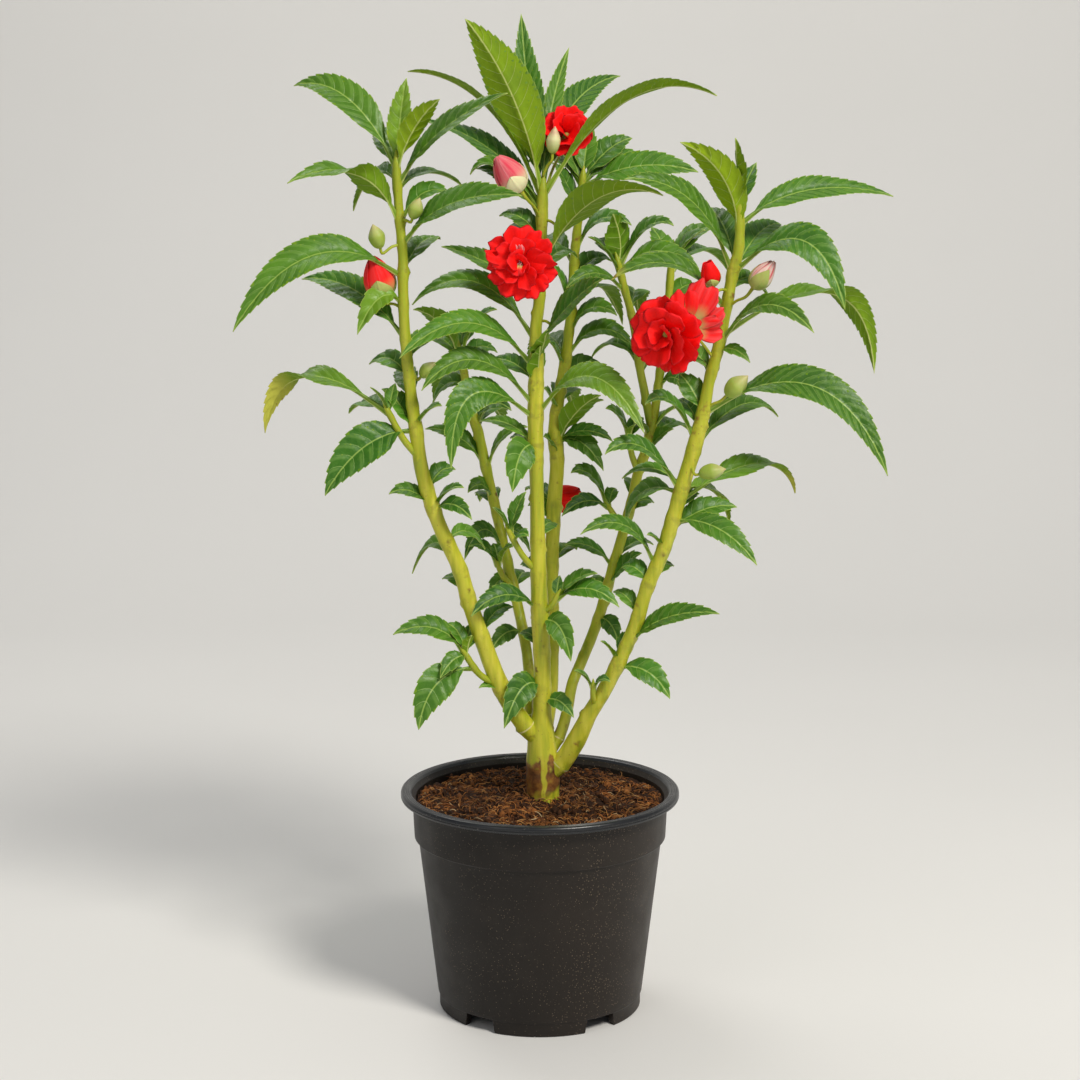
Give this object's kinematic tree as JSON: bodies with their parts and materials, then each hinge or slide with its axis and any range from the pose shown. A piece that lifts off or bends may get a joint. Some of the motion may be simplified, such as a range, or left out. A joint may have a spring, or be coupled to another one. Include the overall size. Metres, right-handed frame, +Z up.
{
  "type": "potted garden balsam",
  "caption": "Potted garden balsam: many-stemmed plant with saw-edged lance-shaped leaves and double red flowers, in a round black nursery pot of coir soil.",
  "frame": {"origin": "middle of the whole part's bounding box in X and Y, at the underside of the pot's feet", "axes": "+Z up along the pot's axis, -Y towards the front of the plant, +X to its right"},
  "size_m": [0.3346, 0.187, 0.528],
  "materials": {
    "pot_plastic": "matte moulded black with a smoother lip",
    "soil_coir": "loose fibrous crumbs",
    "leaf_green": "waxy leaf above, duller below",
    "petal_red": "velvety petal",
    "petal_pink": "smooth closed petal"
  },
  "bodies": {
    "root": {"pot": "pot_plastic", "soil": "soil_coir", "leafy_stem_centre": "leaf_green", "leafy_stem_centre_back": "leaf_green", "leafy_stem_left": "leaf_green", "leafy_stem_left_back": "leaf_green", "leafy_stem_right": "leaf_green", "leafy_stem_right_back": "leaf_green", "bloom_centre": "petal_red", "bloom_right": "petal_red", "bloom_top": "petal_red", "bloom_low": "petal_red", "bud_left_red": "petal_red", "bud_right_red": "petal_red", "bud_top_pink": "petal_pink", "bud_right_pink": "petal_pink"}
  },
  "joints": []
}
